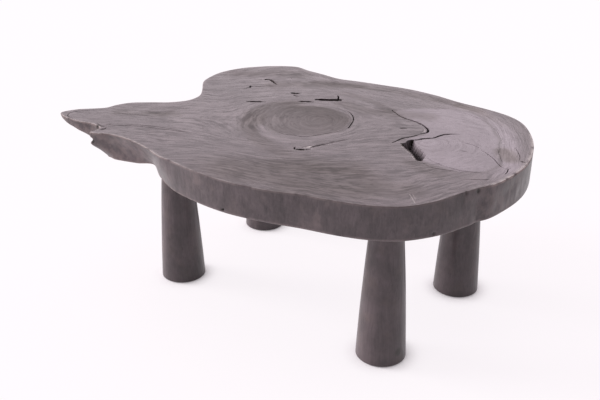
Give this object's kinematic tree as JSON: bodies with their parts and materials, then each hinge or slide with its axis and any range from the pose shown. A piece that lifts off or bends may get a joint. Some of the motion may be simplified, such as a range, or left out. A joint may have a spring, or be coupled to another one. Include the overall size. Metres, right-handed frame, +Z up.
{
  "type": "live edge coffee table",
  "caption": "Low coffee table: a thick live edge trunk slice with a pointed tail, cracks and an open void, on tapered turned round legs, stained charcoal.",
  "frame": {"origin": "on the floor under the middle of the slab's bounding box", "axes": "+X along the slab's length away from its tail, +Y from the front to the back, +Z up"},
  "size_m": [1.0701, 0.7737, 0.42],
  "materials": {
    "slab_wood": "charcoal stain, satin, open grain",
    "leg_wood": "dark charcoal stain, satin",
    "steel": "zinc plated",
    "felt": "pressed felt"
  },
  "bodies": {
    "root": {"slab_top": "slab_wood", "leg_front_left": "leg_wood", "leg_front_right": "leg_wood", "leg_back_left": "leg_wood", "leg_back_right": "leg_wood", "foot_pad_front_left": "felt", "foot_pad_front_right": "felt", "foot_pad_back_left": "felt", "foot_pad_back_right": "felt", "leg_stud_front_left": "steel", "leg_stud_front_right": "steel", "leg_stud_back_left": "steel", "leg_stud_back_right": "steel", "leg_plate_front_left": "steel", "leg_plate_front_right": "steel", "leg_plate_back_left": "steel", "leg_plate_back_right": "steel", "plate_screw_front_left_1": "steel", "plate_screw_front_left_2": "steel", "plate_screw_front_left_3": "steel", "plate_screw_front_right_1": "steel", "plate_screw_front_right_2": "steel", "plate_screw_front_right_3": "steel", "plate_screw_back_left_1": "steel", "plate_screw_back_left_2": "steel", "plate_screw_back_left_3": "steel", "plate_screw_back_right_1": "steel", "plate_screw_back_right_2": "steel", "plate_screw_back_right_3": "steel"}
  },
  "joints": []
}
